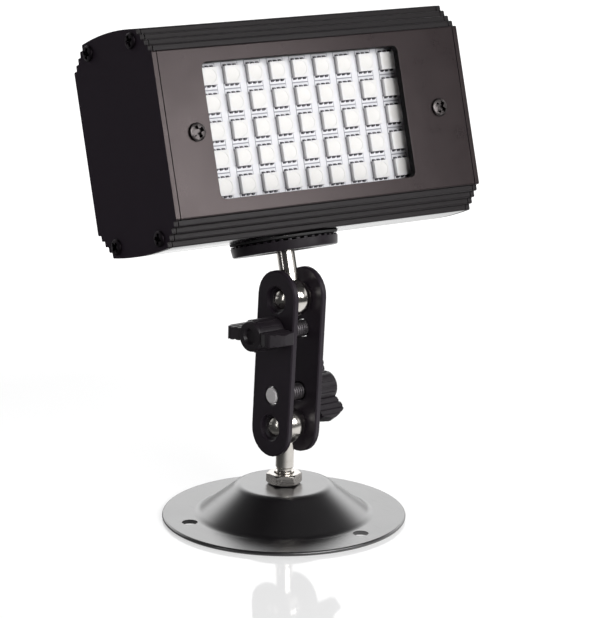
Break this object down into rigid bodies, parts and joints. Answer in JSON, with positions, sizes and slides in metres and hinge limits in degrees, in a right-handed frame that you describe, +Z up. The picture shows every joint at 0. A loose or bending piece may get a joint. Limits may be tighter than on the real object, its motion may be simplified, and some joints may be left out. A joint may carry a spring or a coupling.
{
  "type": "strobe light",
  "caption": "Compact LED strobe lamp: ribbed black housing, windowed front panel over a grid of square LEDs, ball-jointed clamp bracket with wing screws, round steel foot.",
  "frame": {"origin": "centre of the object's bounding box, on the plane the foot stands on", "axes": "+Z up, +X along the lamp's long side, the lamp's window faces -Y"},
  "size_m": [0.1114, 0.0832, 0.1448],
  "materials": {
    "black_anodised": "satin black anodised, ribs catch the light",
    "panel_black": "matte warm black",
    "black_steel": "smooth semi-gloss black",
    "nickel": "polished nickel plate",
    "black_screw": "black plated",
    "black_plastic": "glossy black",
    "white_board": "white solder mask",
    "black_rubber": "matte black",
    "grey_pad": "matte grey",
    "bare_aluminium": "mill finish",
    "green_board": "green solder mask"
  },
  "bodies": {
    "base": {"base_dish": "black_steel", "jam_nut": "nickel", "under_nut": "nickel"},
    "lower_stud": {"lower_ball_stud": "nickel"},
    "arm": {"near_clamp_plate": "black_steel", "far_clamp_plate": "black_steel"},
    "near_wing": {"near_wing_knob": "black_plastic", "near_clamp_bolt": "nickel"},
    "far_wing": {"far_wing_knob": "black_plastic", "far_clamp_bolt": "nickel"},
    "upper_stud": {"upper_ball_stud": "nickel"},
    "lock_ring": {"lock_ring": "black_plastic", "ring_washer": "black_rubber"},
    "head": {"carrier_plate": "bare_aluminium", "driver_board": "green_board", "front_panel": "panel_black", "housing_extrusion": "black_anodised", "inlet_nut": "nickel", "led_board": "white_board", "left_end_plate": "black_anodised", "left_end_screw_back_high": "black_screw", "left_end_screw_back_low": "black_screw", "left_end_screw_front_high": "black_screw", "left_end_screw_front_low": "black_screw", "mount_bush": "nickel", "panel_nut_left": "nickel", "panel_nut_right": "nickel", "panel_screw_left": "black_screw", "panel_screw_right": "black_screw", "panel_spacer_left": "bare_aluminium", "panel_spacer_right": "bare_aluminium", "potentiometer_nut": "nickel", "power_inlet": "black_plastic", "right_end_plate": "black_anodised", "right_end_screw_back_high": "black_screw", "right_end_screw_back_low": "black_screw", "right_end_screw_front_high": "black_screw", "right_end_screw_front_low": "black_screw", "speed_potentiometer": "black_plastic", "thermal_pad": "grey_pad"},
    "speed": {"potentiometer_shaft": "nickel", "speed_knob": "black_plastic"}
  },
  "joints": [
    {"name": "base_swivel", "type": "hinge", "parent": "base", "child": "lower_stud", "pos_m": [-0.00792, -0.00643, 0.02739], "axis": [0.0321, 0.0035, 0.9995], "continuous": true},
    {"name": "lower_tilt", "type": "hinge", "parent": "lower_stud", "child": "arm", "pos_m": [-0.00792, -0.00643, 0.02739], "axis": [0.9924, 0.1078, -0.0593], "range_deg": [-35, 35]},
    {"name": "upper_tilt", "type": "hinge", "parent": "arm", "child": "upper_stud", "pos_m": [-0.00572, -0.00619, 0.06463], "axis": [0.9924, 0.1078, -0.0593], "range_deg": [-40, 70]},
    {"name": "head_turn", "type": "hinge", "parent": "upper_stud", "child": "head", "pos_m": [-0.00513, -0.00127, 0.08029], "axis": [0.0355, 0.2996, 0.9534], "continuous": true},
    {"name": "lock_ring_turn", "type": "hinge", "parent": "upper_stud", "child": "lock_ring", "pos_m": [-0.00513, -0.00127, 0.08029], "axis": [0.0355, 0.2996, 0.9534], "continuous": true},
    {"name": "near_wing_turn", "type": "hinge", "parent": "arm", "child": "near_wing", "pos_m": [-0.01259, -0.00694, 0.05562], "axis": [-0.9924, -0.1078, 0.0593], "continuous": true},
    {"name": "far_wing_turn", "type": "hinge", "parent": "arm", "child": "far_wing", "pos_m": [-0.00105, -0.00569, 0.0364], "axis": [0.9924, 0.1078, -0.0593], "continuous": true},
    {"name": "speed_knob_turn", "type": "hinge", "parent": "head", "child": "speed", "pos_m": [0.02298, 0.0073, 0.10954], "axis": [0.0005, 0.954, -0.2998], "range_deg": [-150, 150]}
  ]
}
